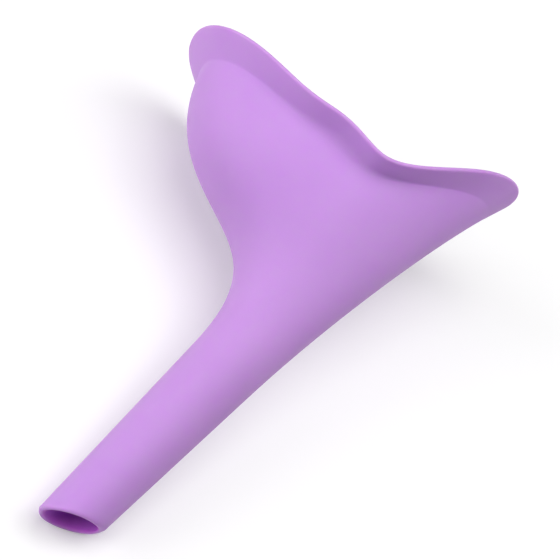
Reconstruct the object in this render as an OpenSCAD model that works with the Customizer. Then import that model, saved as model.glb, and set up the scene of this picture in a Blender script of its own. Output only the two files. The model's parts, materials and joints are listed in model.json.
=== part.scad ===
// One-piece silicone funnel: a saddle-shaped mouth with a flared flange, a deep cup,
// a neck and a tapered spout with a slanted outlet. It lies on its side, spout towards -X.
// The pieces are drawn with the spout along +X, the outlet at the origin, the belly of the
// cup towards +Y and the plane of symmetry at Z = 0, and are then laid down.

/* [Spout] */
// Outer radius of the spout at the middle of its outlet
outlet_r = 8.5; // [7:0.1:10]
// Outer radius where the straight spout runs into the neck
spout_r = 11; // [10:0.1:13]
// Length of the straight spout along its axis
spout_l = 64; // [56:1:72]
// Slant of the outlet away from a square cut, in degrees
outlet_slant = 27; // [0:1:40]
// Length of the straight bore inside the outlet
bore_l = 15; // [8:1:25]
// Distance from the outlet at which the bending zone of the spout starts
flex_start = 45; // [35:1:52]

/* [Cup] */
// Distance from the outlet to the flange crease on the belly side
crease_back_x = 129; // [122:1:136]
// Height of that crease above the spout axis
crease_back_y = 68; // [60:1:76]
// Distance from the outlet to the flange crease on the front side
crease_front_x = 161; // [154:1:170]
// Depth of that crease below the spout axis
crease_front_y = 23.5; // [19:0.5:28]
// Half of the cup's width at the crease
cup_half_w = 24.5; // [20:0.5:30]
// How far the belly line keeps to the spout before it turns up
neck_sweep = 52; // [44:1:58]
// How far the belly line runs straight into the crease
belly_sweep = 43; // [36:1:50]
// Slope of the belly line at the crease, in degrees
belly_slope = 20; // [10:1:32]
// How far the front line keeps to the spout
front_sweep = 30; // [20:1:40]
// How far the front line runs straight into the crease
mouth_sweep = 25; // [15:1:35]
// Slope of the front line at the crease, in degrees
front_slope = 14; // [8:1:20]
// Where the neck gives way to the cup, from 0 at the spout to 1 at the crease
neck_end = 0.3; // [0.2:0.05:0.5]

/* [Mouth] */
// Squareness of the belly half of the mouth at the crease, where 2 is an ellipse
mouth_square = 2.4; // [2:0.1:3]
// Squareness of the belly half of the rim
rim_square = 2.2; // [2:0.1:3]
// Squareness of the front half of the mouth's sides
front_square = 2.1; // [1.8:0.1:2.6]
// Depth of the saddle at the crease
crease_dip = 19; // [10:0.5:22]
// Depth of the saddle at the rim
rim_dip = 28; // [15:0.5:32]
// Place of the saddle's lowest point, from -1 at the front end to 1 at the belly end
dip_at = -0.1; // [-0.4:0.02:0.2]
// How tightly the saddle turns at its lowest point, where 2 is a parabola and 1 a corner
dip_power = 1.3; // [1.2:0.1:2]
// Share of a soft wave in the saddle's line
dip_soft = 0.4; // [0:0.1:1]
// Height of the shoulder beside the saddle, at the crease
crease_shoulder = 3.6; // [0:0.1:5]
// Height of the shoulder beside the saddle, at the rim
rim_shoulder = 3.7; // [0:0.1:5]
// Place of the shoulder, on the same scale as the saddle's lowest point
shoulder_at = 0.1; // [0:0.02:0.3]
// Half length of the shoulder on that scale
shoulder_w = 0.22; // [0.12:0.01:0.3]

/* [Flange] */
// Width of the flange at the belly end
flange_back_w = 10.7; // [6:0.1:14]
// Direction of the flange there, away from the spout axis, in degrees
flange_back_angle = 58; // [40:1:75]
// Width of the flange at the front end
flange_front_w = 11.3; // [6:0.1:14]
// Direction of the flange there, away from the spout axis, in degrees
flange_front_angle = 15.5; // [5:0.5:35]
// Width of the flange at the sides
flange_side_w = 9; // [6:0.1:14]
// Direction of the flange there, away from the spout axis, in degrees
flange_side_angle = 76; // [50:1:85]

/* [Wall] */
// Thickness of the wall, and of the round edge of the flange
wall = 1.8; // [1.2:0.1:2.4]

/* [Hidden] */
lavender = [0.80, 0.61, 0.89];
segments = 72;
flange_steps = 3;
edge_steps = 4;
cup_steps = 14;
throat_steps = 7;
bend_steps = 3;
probe_angle = 0.5;
probe_step = 0.004;
settle_steps = 24;
$fn = 96;

// Plain helpers
function mix(a, b, t) = a + (b - a) * t;
function ease(t) = t * t * (3 - 2 * t);
function unit(v) = v / norm(v);
function power(x, e) = sign(x) * pow(abs(x), e);
function polar(length, angle) = length * [cos(angle), sin(angle)];
function column(points, axis) = [for (p = points) p[axis]];
function bezier(p, t) =
    pow(1 - t, 3) * p[0] + 3 * t * pow(1 - t, 2) * p[1] + 3 * t * t * (1 - t) * p[2] + pow(t, 3) * p[3];

// The spout's taper, and the lines of the belly and of the front in the plane of symmetry
taper = (spout_r - outlet_r) / spout_l;
bore_r = outlet_r - wall;
function spout_radius(x) = outlet_r + taper * x;
crease_back = [crease_back_x, crease_back_y];
crease_front = [crease_front_x, -crease_front_y];
neck_back = [spout_l, spout_r];
neck_front = [spout_l, -spout_r];
belly_line = [neck_back, neck_back + polar(neck_sweep, atan(taper)),
              crease_back - polar(belly_sweep, belly_slope), crease_back];
front_line = [neck_front, neck_front + polar(front_sweep, -atan(taper)),
              crease_front - polar(mouth_sweep, -front_slope), crease_front];

// The rim: the flange's outer end at the belly, at the front and at the sides
rim_back = crease_back + polar(flange_back_w, flange_back_angle);
rim_front = crease_front + polar(flange_front_w, -flange_front_angle);
rim_half_w = cup_half_w + flange_side_w * sin(flange_side_angle);

// How far the saddle falls at a place along the mouth, as a share of its depth
function fall(s) =
    let (far = s >= dip_at ? (s - dip_at) / (1 - dip_at) : (dip_at - s) / (1 + dip_at))
    mix(1 - pow(far, dip_power), (1 + cos(180 * far)) / 2, dip_soft);
function shoulder(s) = exp(-pow((s - shoulder_at) / shoulder_w, 2));

// One point of a cross-section that spans from its front point to its back point
function section(back, front, half_w, dip, rise, square, tip_square, angle) =
    let (
        half = (back - front) / 2,
        along = unit(half),
        outward = [along[1], -along[0]],
        s = power(sin(angle), sin(angle) < 0 ? 1 : 2 / square),
        flat = (back + front) / 2 + s * half + (rise * shoulder(s) - dip * fall(s)) * outward
    )
    [flat[0], flat[1], half_w * power(cos(angle), 2 / (sin(angle) < 0 ? tip_square : square))];

function crease_point(angle) =
    section(crease_back, crease_front, cup_half_w, crease_dip, crease_shoulder,
            mouth_square, front_square, angle);
function rim_point(angle) =
    section(rim_back, rim_front, rim_half_w, rim_dip, rim_shoulder,
            rim_square, front_square, angle);

// The outer skin: v runs from -1 where the bending zone starts, over 0 at the end of the
// straight spout and 1 at the crease, to 2 at the rim
function outer(v, angle) =
    v <= 0 ? let (x = mix(spout_l, flex_start, -v), r = spout_radius(x)) [x, r * sin(angle), r * cos(angle)]
    : v >= 1 ? mix(crease_point(angle), rim_point(angle), v - 1)
    : section(bezier(belly_line, v), bezier(front_line, v), mix(spout_r, cup_half_w, ease(v)),
              crease_dip * v * v, crease_shoulder * pow(v, 4),
              mix(2, mouth_square, ease(v)), mix(2, front_square, ease(v)), angle);

// A point at a depth below the outer skin, square to it
function inward(v, angle) =
    let (
        here = outer(v, angle),
        along = unit(outer(v + probe_step, angle) - here) + unit(here - outer(v - probe_step, angle)),
        around = outer(v, angle + probe_angle) - outer(v, angle - probe_angle)
    )
    v <= 0 ? [0, -sin(angle), -cos(angle)] : unit(cross(around, along));
function wall_point(v, angle, depth) = outer(v, angle) + depth * inward(v, angle);

// Rings of points, and the walls that they bound
angles = [for (i = [0 : segments - 1]) 360 * i / segments];
function ring(v, depth) = [for (a = angles) wall_point(v, a, depth)];
function stations(v0, v1, steps) = [for (i = [0 : steps]) mix(v0, v1, i / steps)];
function reversed(list) = [for (i = [len(list) - 1 : -1 : 0]) list[i]];
function shell_rings(stations) = concat(
    [for (v = stations) ring(v, 0)],
    [for (v = reversed(stations)) ring(v, wall)]
);
cup_stations = stations(neck_end, 1, cup_steps);
neck_stations = concat(stations(-1, -1 / bend_steps, bend_steps - 1), stations(0, neck_end, throat_steps));

// The flange's own rings: t runs from the crease to the start of the round edge, and the
// round edge turns from the outer skin to the inner one
function edge_start(angle, turn) =
    2 - wall / 2 * (1 - sin(turn)) / norm(rim_point(angle) - crease_point(angle));
function flange_ring(t, depth) = [for (a = angles) wall_point(mix(1, edge_start(a, 0), t), a, depth)];
function edge_ring(turn) = [for (a = angles) wall_point(edge_start(a, turn), a, wall / 2 * (1 - cos(turn)))];
edge_rings = [for (i = [0 : edge_steps]) edge_ring(180 * i / edge_steps)];
function flange_rings() = concat(
    [for (i = [0 : flange_steps - 1]) flange_ring(i / flange_steps, 0)],
    edge_rings,
    [for (i = [flange_steps - 1 : -1 : 0]) flange_ring(i / flange_steps, wall)]
);

// The slanted lip of the outlet
function lip_point(angle) =
    let (slope = tan(outlet_slant), r = outlet_r / (1 + taper * slope * sin(angle)))
    [-slope * r * sin(angle), r * sin(angle), r * cos(angle)];
lip_ring = [for (a = angles) lip_point(a)];

// Lying on its side: the rim and the outlet's lip both touch the surface
rim_ring = [for (ring = edge_rings) each ring];
function lowest(points, pitch) = min([for (p = points) p[0] * sin(pitch) + p[2] * cos(pitch)]);
function settle(low, high, steps) =
    let (middle = (low + high) / 2)
    steps == 0 ? middle
    : lowest(rim_ring, middle) < lowest(lip_ring, middle) ? settle(middle, high, steps - 1)
    : settle(low, middle, steps - 1);
pitch = settle(0, 45, settle_steps);
outline = [for (p = concat(rim_ring, lip_ring)) [p[0] * cos(pitch) - p[2] * sin(pitch), p[1]]];
middle_x = (min(column(outline, 0)) + max(column(outline, 0))) / 2;
middle_y = (min(column(outline, 1)) + max(column(outline, 1))) / 2;
lift = -lowest(rim_ring, pitch);

module lying() {
    translate([-middle_x, -middle_y, lift])
        rotate([0, -pitch, 0])
            children();
}

// A closed wall over its rings, which run out along one skin and back along the other
module wall_over(rings) {
    count = len(rings);
    points = [for (ring = rings) each ring];
    faces = [
        for (i = [0 : count - 1])
        for (j = [0 : segments - 1])
        let (
            next = (i + 1) % count * segments,
            a = i * segments + j,
            b = i * segments + (j + 1) % segments,
            c = next + (j + 1) % segments,
            d = next + j
        )
        each i == count - 1 ? [[a, b, d], [b, c, d]] : [[a, b, c], [a, c, d]]
    ];
    polyhedron(points, faces);
}

// Flared flange round the mouth, with a round edge
module rim_flange() {
    color(lavender)
        lying()
            wall_over(flange_rings());
}

// Deep cup between the neck and the crease
module cup_shell() {
    color(lavender)
        lying()
            wall_over(shell_rings(cup_stations));
}

// Neck: the end of the spout, where it bends, and the throat of the cup
module neck() {
    color(lavender)
        lying()
            wall_over(shell_rings(neck_stations));
}

// Tapered spout with a straight bore at its slanted outlet
module spout_tube() {
    overhang = 2 * outlet_r * tan(outlet_slant) + wall;
    end_r = spout_radius(flex_start);
    profile = [
        [bore_r, -overhang], [spout_radius(-overhang), -overhang],
        [end_r, flex_start], [end_r - wall, flex_start], [bore_r, bore_l]
    ];
    color(lavender)
        lying()
            difference() {
                rotate([0, 90, 0])
                    rotate_extrude()
                        polygon(profile);
                rotate([0, 0, outlet_slant])
                    translate([-2 * spout_l, -spout_l, -spout_l])
                        cube(2 * spout_l);
            }
}

rim_flange();
cup_shell();
neck();
spout_tube();
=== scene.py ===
import json
import bmesh
import bpy
import numpy as np
from mathutils import Matrix, Vector


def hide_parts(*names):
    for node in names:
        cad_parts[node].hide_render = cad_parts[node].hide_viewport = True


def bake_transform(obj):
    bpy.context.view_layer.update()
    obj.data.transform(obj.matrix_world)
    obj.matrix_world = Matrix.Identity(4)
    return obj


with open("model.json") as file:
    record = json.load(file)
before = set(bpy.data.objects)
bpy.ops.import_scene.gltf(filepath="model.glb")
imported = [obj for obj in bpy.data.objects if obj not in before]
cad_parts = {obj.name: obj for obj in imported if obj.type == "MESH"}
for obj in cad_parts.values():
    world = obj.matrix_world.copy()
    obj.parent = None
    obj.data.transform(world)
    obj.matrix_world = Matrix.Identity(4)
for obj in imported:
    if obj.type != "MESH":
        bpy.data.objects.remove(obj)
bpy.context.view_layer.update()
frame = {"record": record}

# The funnel: one soft silicone moulding, shaped between a two-part cavity and a core.
# Spout, neck, cup and flange are one unbroken wall, so one skin stands for all four zones.
# Its rings are drawn with the spout along x, the belly towards y and the sides at z, in mm.
MM = 0.001

# The spout: its radii at the outlet and the neck, its straight bore and the stretch that bends.
outlet_r = 8.5
spout_r = 11.0
spout_l = 64.0
outlet_slant = 27.0
bore_l = 15.0
flex_start = 45.0
flex_end = 75.0

# The cup: the two ends of its crease, and the pull and slope of the curves that lead to them.
# Its side walls stay a little narrow and flare out just before the crease.
crease_back = np.array([129.0, 68.0])
crease_front = np.array([161.0, -23.5])
cup_half_w = 24.5
waist_half_w = 23.0
flare_power = 10
neck_sweep = 52.0
belly_sweep = 43.0
belly_slope = 20.0
front_sweep = 30.0
mouth_sweep = 25.0
front_slope = 14.0

# How square the rings are, as the power of a superellipse, where 2 is an ellipse.
round_square = 2.0
mouth_square = 2.4
rim_square = 2.2
front_square = 2.1
rim_tip_square = 2.0
belly_square_add = 0.15
front_square_add = 0.4

# The saddle of the mouth: how deep it dips, where along the mouth, and the shoulder beside it.
crease_dip = 19.0
rim_dip = 27.8
dip_at = -0.1
dip_power = 1.3
dip_soft = 0.4
dip_round = 0.06
crease_shoulder = 3.6
rim_shoulder = 4.0
shoulder_at = 0.1
shoulder_w = 0.22
shoulder_growth = 4

# The flange: its width and its slope at the back, the front and the sides.
flange_back_w = 10.7
flange_back_angle = 58.0
flange_front_w = 11.7
flange_front_angle = 15.0
flange_side_w = 9.0
flange_side_angle = 76.0

# The wall, the thinner edge of the flange, the worn lip of the outlet and the crease's fillet.
wall = 1.8
rim_wall = 1.3
lip_depth = 1.2
lip_extra = 0.7
belly_wear = 1.0
front_wear = 0.2
wear_power = 6
hole_shift = 0.4
sharp_fillet = 0.5
soft_fillet = 3.0
soft_at = 0.05
soft_w = 0.25

# How many points a ring has, and how many rings each stretch of the wall has.
segments = 160
spout_rings = 30
cup_rings = 56
fillet_rings = 8
flange_rings = 6
edge_rings = 8


def mix(a, b, t):
    return a + (b - a) * t


def ease(t):
    return t * t * (3 - 2 * t)


def unit(v):
    return v / np.linalg.norm(v, axis=-1, keepdims=True)


def power(x, e):
    return np.sign(x) * np.abs(x) ** e


def polar(length, degrees):
    return length * np.array([np.cos(np.radians(degrees)), np.sin(np.radians(degrees))])


def bezier(points, t):
    return ((1 - t) ** 3 * points[0] + 3 * t * (1 - t) ** 2 * points[1]
            + 3 * t * t * (1 - t) * points[2] + t ** 3 * points[3])


taper = (spout_r - outlet_r) / spout_l
taper_angle = np.degrees(np.arctan(taper))
neck_back = np.array([spout_l, spout_r])
neck_front = np.array([spout_l, -spout_r])
belly_line = [neck_back, neck_back + polar(neck_sweep, taper_angle),
              crease_back - polar(belly_sweep, belly_slope), crease_back]
front_line = [neck_front, neck_front + polar(front_sweep, -taper_angle),
              crease_front - polar(mouth_sweep, -front_slope), crease_front]
rim_back = crease_back + polar(flange_back_w, flange_back_angle)
rim_front = crease_front + polar(flange_front_w, -flange_front_angle)
rim_half_w = cup_half_w + flange_side_w * np.sin(np.radians(flange_side_angle))

angle = np.radians(360 / segments) * np.arange(segments)[:, None]
sine = np.sin(angle)
cosine = np.cos(angle)


def rounded_power(far):
    """The saddle's power curve, with its sharp foot rounded off."""
    return np.hypot(far, dip_round) ** dip_power - dip_round ** dip_power


def fall(s):
    """How far the mouth's saddle falls at a place along it, as a share of its depth."""
    far = np.where(s >= dip_at, (s - dip_at) / (1 - dip_at), (dip_at - s) / (1 + dip_at))
    far = np.clip(far, 0, 1)
    curve = 1 - rounded_power(far) / rounded_power(1.0)
    wave = (1 + np.cos(np.pi * far)) / 2
    return mix(curve, wave, dip_soft)


def section(back, front, half_w, dip, rise, square, tip_square):
    """One ring of the skin, from its front point to its back point."""
    half = (back - front) / 2
    along = unit(half)
    outward = np.stack([along[..., 1], -along[..., 0]], axis=-1)
    s = np.where(sine < 0, sine, power(sine, 2 / square))
    shoulder = np.exp(-(((s - shoulder_at) / shoulder_w) ** 2))
    flat = (back + front) / 2 + s * half + (rise * shoulder - dip * fall(s)) * outward
    return np.hstack([flat, half_w * power(cosine, 2 / np.where(sine < 0, tip_square, square))])


def cup_ring(t):
    """A ring of the cup, where t runs from 0 at the spout to 1 at the flange's crease."""
    half_w = mix(spout_r, waist_half_w, ease(t)) + (cup_half_w - waist_half_w) * t ** flare_power
    swell = 4 * t * (1 - t)
    return section(bezier(belly_line, t), bezier(front_line, t), half_w,
                   crease_dip * t * t, crease_shoulder * t ** shoulder_growth,
                   mix(round_square, mouth_square, ease(t)) + belly_square_add * swell,
                   mix(round_square, front_square, ease(t)) + front_square_add * swell)


def spout_ring(start_x, t, radius, shift=0.0):
    """A ring of the straight spout, slanted at the outlet and square at the neck."""
    x = mix(start_x, spout_l, t)
    r = radius(x)
    return np.hstack([x, r * sine - shift * np.clip(1 - x / bore_l, 0, 1), r * cosine])


def outer_radius(x):
    return outlet_r + taper * x


def bore_radius(x):
    bore_r = outlet_r - wall
    flex_r = outer_radius(flex_start) - wall
    tapered = mix(bore_r, flex_r, (x - bore_l) / (flex_start - bore_l))
    return np.where(x < bore_l, bore_r, np.where(x < flex_start, tapered, outer_radius(x) - wall))


# The lip of the outlet is slanted, rounded at its two tips and soft along its edges, and its
# hole lies a little towards the front.
slant = np.tan(np.radians(outlet_slant))
wear = np.where(sine > 0, belly_wear, front_wear) * sine ** wear_power


def lip_ring(radius, depth):
    """A ring of the lip at a radius, where depth runs along the spout."""
    outer = (radius - outlet_r + wall) / wall
    y = radius * sine - hole_shift * (1 - outer)
    return np.hstack([wear * outer - lip_extra - slant * y + depth, y, radius * cosine])


lip_start = lip_ring(outlet_r, lip_depth)[:, :1]
bore_start = lip_ring(outlet_r - wall, lip_depth)[:, :1]
crease = cup_ring(np.ones_like(angle))
rim = section(rim_back, rim_front, rim_half_w, rim_dip, rim_shoulder, rim_square, rim_tip_square)
flange_w = np.linalg.norm(rim - crease, axis=1, keepdims=True)

# The crease is crisp at both ends of the mouth and soft beside the lowest place of its saddle.
fillet = mix(sharp_fillet, soft_fillet, np.exp(-(((sine - soft_at) / soft_w) ** 2)))
probe = 0.01
crease_run = crease - cup_ring(np.full_like(angle, 1 - probe))
crease_speed = np.linalg.norm(crease_run, axis=1, keepdims=True) / probe
cup_stop = 1 - fillet / crease_speed
flange_start = fillet / flange_w
edge_start = 1 - rim_wall / 2 / flange_w

outside = [spout_ring(lip_start, i / spout_rings, outer_radius) for i in range(spout_rings)]
outside += [cup_ring(cup_stop * i / cup_rings) for i in range(cup_rings)]
before = cup_ring(cup_stop)
after = mix(crease, rim, flange_start)
for i in range(fillet_rings):
    t = i / fillet_rings
    outside.append((1 - t) ** 2 * before + 2 * t * (1 - t) * crease + t * t * after)
for i in range(flange_rings + 1):
    outside.append(mix(crease, rim, mix(flange_start, edge_start, i / flange_rings)))
outside = np.array(outside)

# The inside of the wall lies square under the outside, apart from the round bore of the spout.
along = np.gradient(outside, axis=0)
around = np.roll(outside, -1, axis=1) - np.roll(outside, 1, axis=1)
inward = unit(np.cross(around, along))
thickness = np.full((len(outside), 1, 1), wall)
thickness[-flange_rings - 1:, 0, 0] = np.linspace(wall, rim_wall, flange_rings + 1)
inside = outside + thickness * inward
for i in range(spout_rings):
    inside[i] = spout_ring(bore_start, i / spout_rings, bore_radius, hole_shift)


def round_edge(turn):
    """A ring of the flange's full-round edge, from its outer skin at 0 to its inner skin at pi."""
    reach = 1 - rim_wall / 2 * (1 - np.sin(turn)) / flange_w
    return mix(crease, rim, reach) + rim_wall / 2 * (1 - np.cos(turn)) * inward[-1]


def round_lip(turn):
    """A ring of the outlet's soft lip, from its bore at 0 to its outer skin at pi."""
    r = outlet_r - wall / 2 - wall / 2 * np.cos(turn)
    return lip_ring(r, lip_depth * (1 - np.sin(turn)))


turns = np.pi * np.arange(1, edge_rings) / edge_rings
edge = [round_edge(t) for t in turns]
lip = [round_lip(t) for t in turns]
rings = list(outside) + edge + list(inside[::-1]) + lip

# The rings are laid in the frame by the outlet's bore and the hinge of the spout.
bore = frame["record"]["mounts"][0]
hinge = frame["record"]["behaviour"]["joints"][0]
spout_way = -Vector(bore["axis"]).normalized()
side_way = Vector(hinge["axis"]).normalized()
belly_way = side_way.cross(spout_way)
hinge_x = (flex_start + flex_end) / 2
outlet = Vector(hinge["pos_m"]) - spout_way * hinge_x * MM
lay = Matrix((spout_way, belly_way, side_way)).transposed()

# Each ring also carries the skin that it is on, and its share of a painted shade: a deeper, more
# saturated purple that stands in for the shade and bounced light inside the hole. It is strongest at
# the lip and fades out along the bore.
painted_shade_length = 18.0
depths = np.array([ring[:, 0].mean() for ring in inside[::-1]])
painted_shade_along_bore = list(1 - ease(np.clip(depths / painted_shade_length, 0, 1)))
painted_shade_on_lip = [ease(np.clip(np.cos(t), 0, 1)) for t in turns]
outer_shares = [1.0] * len(outside) + [0.0] * (len(rings) - len(outside))
painted_shade_shares = [0.0] * (len(outside) + len(turns)) + painted_shade_along_bore + painted_shade_on_lip
mesh = bmesh.new()
step_layer = mesh.verts.layers.int.new("step")
outer_layer = mesh.verts.layers.float.new("outer_skin")
painted_shade_layer = mesh.verts.layers.float.new("painted_shade")


def lay_ring(verts, number):
    """Moves a ring of vertices to its place on the wall and marks its skin."""
    for vert in verts:
        vert.co = outlet + lay @ Vector(rings[number][vert[step_layer]] * MM)
        vert[outer_layer] = outer_shares[number]
        vert[painted_shade_layer] = painted_shade_shares[number]


# The first ring is drawn out into the next, all round the wall, and closes on itself.
first = bmesh.ops.create_circle(mesh, segments=segments, radius=1.0)["verts"]
for step, vert in enumerate(first):
    vert[step_layer] = step
lay_ring(first, 0)
edges = mesh.edges[:]
for number in [*range(1, len(rings)), 0]:
    drawn = bmesh.ops.extrude_edge_only(mesh, edges=edges)["geom"]
    lay_ring([part for part in drawn if isinstance(part, bmesh.types.BMVert)], number)
    edges = [part for part in drawn if isinstance(part, bmesh.types.BMEdge) and part.is_boundary]
weld = 1e-7
bmesh.ops.remove_doubles(mesh, verts=mesh.verts[:], dist=weld)
mesh.verts.layers.int.remove(step_layer)
bmesh.ops.recalc_face_normals(mesh, faces=mesh.faces[:])
for face in mesh.faces:
    face.smooth = True
skin = bpy.data.meshes.new("silicone_funnel")
mesh.to_mesh(skin)
mesh.free()
funnel = bpy.data.objects.new("silicone_funnel", skin)
bpy.context.scene.collection.objects.link(funnel)


class Wire:
    """A socket of a node tree. Sums on it add Math nodes, and node() adds any other node."""

    def __init__(self, tree, socket=None):
        self.tree = tree
        self.socket = socket

    def node(self, kind, settings=None, inputs=None, output=0):
        made = self.tree.nodes.new(kind)
        for name, value in (settings or {}).items():
            setattr(made, name, value)
        for name, value in (inputs or {}).items():
            if isinstance(value, Wire):
                self.tree.links.new(value.socket, made.inputs[name])
            else:
                made.inputs[name].default_value = value
        return Wire(self.tree, made.outputs[output] if made.outputs else None)

    def beside(self, output):
        return Wire(self.tree, self.socket.node.outputs[output])

    def math(self, operation, first, second):
        return self.node("ShaderNodeMath", {"operation": operation}, {0: first, 1: second})

    def __add__(self, other):
        return self.math("ADD", self, other)

    def __mul__(self, other):
        return self.math("MULTIPLY", self, other)

    __radd__ = __add__
    __rmul__ = __mul__


# Satin, slightly translucent lavender silicone: soft cloudy pigment, a fine blasted mould
# surface outside and a smoother core surface inside, with a painted shade of deeper purple in the bore
# at the outlet.
pigment = (0.60, 0.336, 0.755, 1.0)
pigment_deep = (0.53, 0.275, 0.695, 1.0)
# The painted shade in the bore: a deep, saturated purple for the shaded hole.
painted_shade_colour = (0.60, 0.16, 0.74, 1.0)
cloud_scale = 28.0
grain_scale = 2600.0
smear_scale = 110.0
core_roughness = 0.48
smear_roughness = 0.10
blasted_roughness = 0.06
silicone = bpy.data.materials.new("lavender_silicone")
silicone.use_nodes = True
silicone.node_tree.nodes.clear()
nodes = Wire(silicone.node_tree)
place = nodes.node("ShaderNodeTexCoord", output="Object")
outer_skin = nodes.node("ShaderNodeAttribute", {"attribute_name": "outer_skin"}, output="Fac")
painted_shade = nodes.node("ShaderNodeAttribute", {"attribute_name": "painted_shade"}, output="Fac")
cloud = nodes.node("ShaderNodeTexNoise", inputs={"Vector": place, "Scale": cloud_scale, "Detail": 3.0})
grain = nodes.node("ShaderNodeTexNoise", inputs={"Vector": place, "Scale": grain_scale, "Detail": 2.0})
smear = nodes.node("ShaderNodeTexNoise", inputs={"Vector": place, "Scale": smear_scale, "Detail": 4.0})
cloudy = nodes.node("ShaderNodeMix", {"data_type": "RGBA"},
                    {"Factor": cloud, 6: pigment, 7: pigment_deep}, output=2)
# Painted shade: the bore's deeper purple is laid over the pigment, strongest at the lip.
colour = nodes.node("ShaderNodeMix", {"data_type": "RGBA"},
                    {"Factor": painted_shade, 6: cloudy, 7: painted_shade_colour}, output=2)
roughness = core_roughness + smear_roughness * smear + blasted_roughness * outer_skin
surface = nodes.node("ShaderNodeBump", inputs={
    "Strength": 0.06,
    "Distance": 0.0003,
    "Height": grain * outer_skin,
})
rubber = nodes.node("ShaderNodeBsdfPrincipled", inputs={
    "Base Color": colour,
    "Roughness": roughness,
    "Normal": surface,
    "IOR": 1.41,
    "Subsurface Weight": 0.6,
    "Subsurface Radius": (1.0, 0.45, 1.1),
    "Subsurface Scale": 0.003,
    "Specular IOR Level": 0.2,
})
nodes.node("ShaderNodeOutputMaterial", inputs={"Surface": rubber})
skin.materials.append(silicone)

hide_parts("rim_flange", "cup_shell", "neck", "spout_tube")
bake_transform(funnel)

# The floor: a plain white paper sheet under the funnel, which takes its soft shadow.
# It glows a little to the eye, so that it reads as white, and is plain white further off.
floor_size = 2.0
paper_white = (0.8, 0.8, 0.8, 1.0)
paper_glow = 0.25
fade_start = 0.25
fade_end = 0.6


def shown(start):
    """1 on a ray that shows a surface to the eye: straight, in a gloss or through glass."""
    ray = start.node("ShaderNodeLightPath", output="Is Camera Ray")
    return ray + ray.beside("Is Glossy Ray") + ray.beside("Is Transmission Ray")


floor_mesh = bmesh.new()
bmesh.ops.create_grid(floor_mesh, x_segments=1, y_segments=1, size=floor_size)
sheet = bpy.data.meshes.new("floor")
floor_mesh.to_mesh(sheet)
floor_mesh.free()
floor = bpy.data.objects.new("floor", sheet)
bpy.context.scene.collection.objects.link(floor)
paper = bpy.data.materials.new("white_paper")
paper.use_nodes = True
paper.node_tree.nodes.clear()
sheet_nodes = Wire(paper.node_tree)
seen = shown(sheet_nodes)
spot = sheet_nodes.node("ShaderNodeTexCoord", output="Object")
away = sheet_nodes.node("ShaderNodeVectorMath", {"operation": "LENGTH"}, {0: spot},
                        output="Value")
far = sheet_nodes.node("ShaderNodeMapRange", {"interpolation_type": "SMOOTHSTEP"},
                       {"Value": away, "From Min": fade_start, "From Max": fade_end})
matt = sheet_nodes.node("ShaderNodeBsdfDiffuse", inputs={"Color": paper_white})
glow = sheet_nodes.node("ShaderNodeEmission", inputs={"Strength": paper_glow})
bright = sheet_nodes.node("ShaderNodeAddShader", inputs={0: matt, 1: glow})
white = sheet_nodes.node("ShaderNodeEmission", inputs={"Strength": 1.0})
paper_seen = sheet_nodes.node("ShaderNodeMixShader", inputs={0: far, 1: bright, 2: white})
look = sheet_nodes.node("ShaderNodeMixShader", inputs={0: seen, 1: matt, 2: paper_seen})
sheet_nodes.node("ShaderNodeOutputMaterial", inputs={"Surface": look})
sheet.materials.append(paper)

# The light: a plain studio with a white backdrop. A large soft lamp stands on the belly side,
# another hangs overhead, and a small one close by lifts the front of the cup.
# The lamps and the camera face one place near the middle of the funnel, in mm along its spout.
aim = Vector((96.66, 6.56, 0.32))
middle = outlet + lay @ aim * MM
white_light = (1.0, 1.0, 1.0, 1.0)
ambient_level = 0.01
backdrop_level = 1.0
world = bpy.data.worlds.new("studio")
world.use_nodes = True
world.node_tree.nodes.clear()
sky_nodes = Wire(world.node_tree)
ambient = sky_nodes.node("ShaderNodeBackground",
                         inputs={"Color": white_light, "Strength": ambient_level})
backdrop = sky_nodes.node("ShaderNodeBackground",
                          inputs={"Color": white_light, "Strength": backdrop_level})
sky = sky_nodes.node("ShaderNodeMixShader", inputs={0: shown(sky_nodes), 1: ambient, 2: backdrop})
sky_nodes.node("ShaderNodeOutputWorld", inputs={"Surface": sky})
bpy.context.scene.world = world


def soft_lamp(name, away, size, watts):
    """A square lamp at a distance from the middle of the funnel, turned towards it."""
    lamp = bpy.data.lights.new(name, "AREA")
    lamp.size = size
    lamp.energy = watts
    holder = bpy.data.objects.new(name, lamp)
    holder.location = middle + Vector(away)
    holder.rotation_euler = (-Vector(away)).to_track_quat("-Z", "Y").to_euler()
    bpy.context.scene.collection.objects.link(holder)


soft_lamp("key", away=(-0.55, 0.75, 0.45), size=0.9, watts=7.6)
soft_lamp("top", away=(0.0, 0.0, 1.10), size=0.9, watts=7.5)
soft_lamp("fill", away=(0.16, -0.23, 0.42), size=0.4, watts=1.0)

# The camera: above the funnel and towards its outlet, turned so that the spout runs down
# to the left at 45 degrees, with the perspective of a long lens at about 0.66 m.
view_distance = 659.1
view_tilt = 27.01
view_swing = -2.16
view_roll = 45.56
view_scale = 3.444
frame_px = 560
back = Vector((-np.sin(np.radians(view_tilt)) * np.cos(np.radians(view_swing)),
               np.sin(np.radians(view_swing)),
               np.cos(np.radians(view_tilt)) * np.cos(np.radians(view_swing))))
right = Vector((0, 1, 0)).cross(back).normalized()
up = back.cross(right)
turn = np.radians(view_roll)
screen_right = right * np.cos(turn) - up * np.sin(turn)
screen_up = right * np.sin(turn) + up * np.cos(turn)
pose = lay @ Matrix((screen_right, screen_up, back)).transposed()
lens = bpy.data.cameras.new("camera")
lens.sensor_width = 36.0
lens.lens = lens.sensor_width * view_distance * view_scale / frame_px
lens.clip_start = 0.05
camera = bpy.data.objects.new("camera", lens)
camera.matrix_world = pose.to_4x4()
camera.location = middle + lay @ back * view_distance * MM
bpy.context.scene.collection.objects.link(camera)
bpy.context.scene.camera = camera
bpy.context.scene.view_settings.view_transform = "Standard"
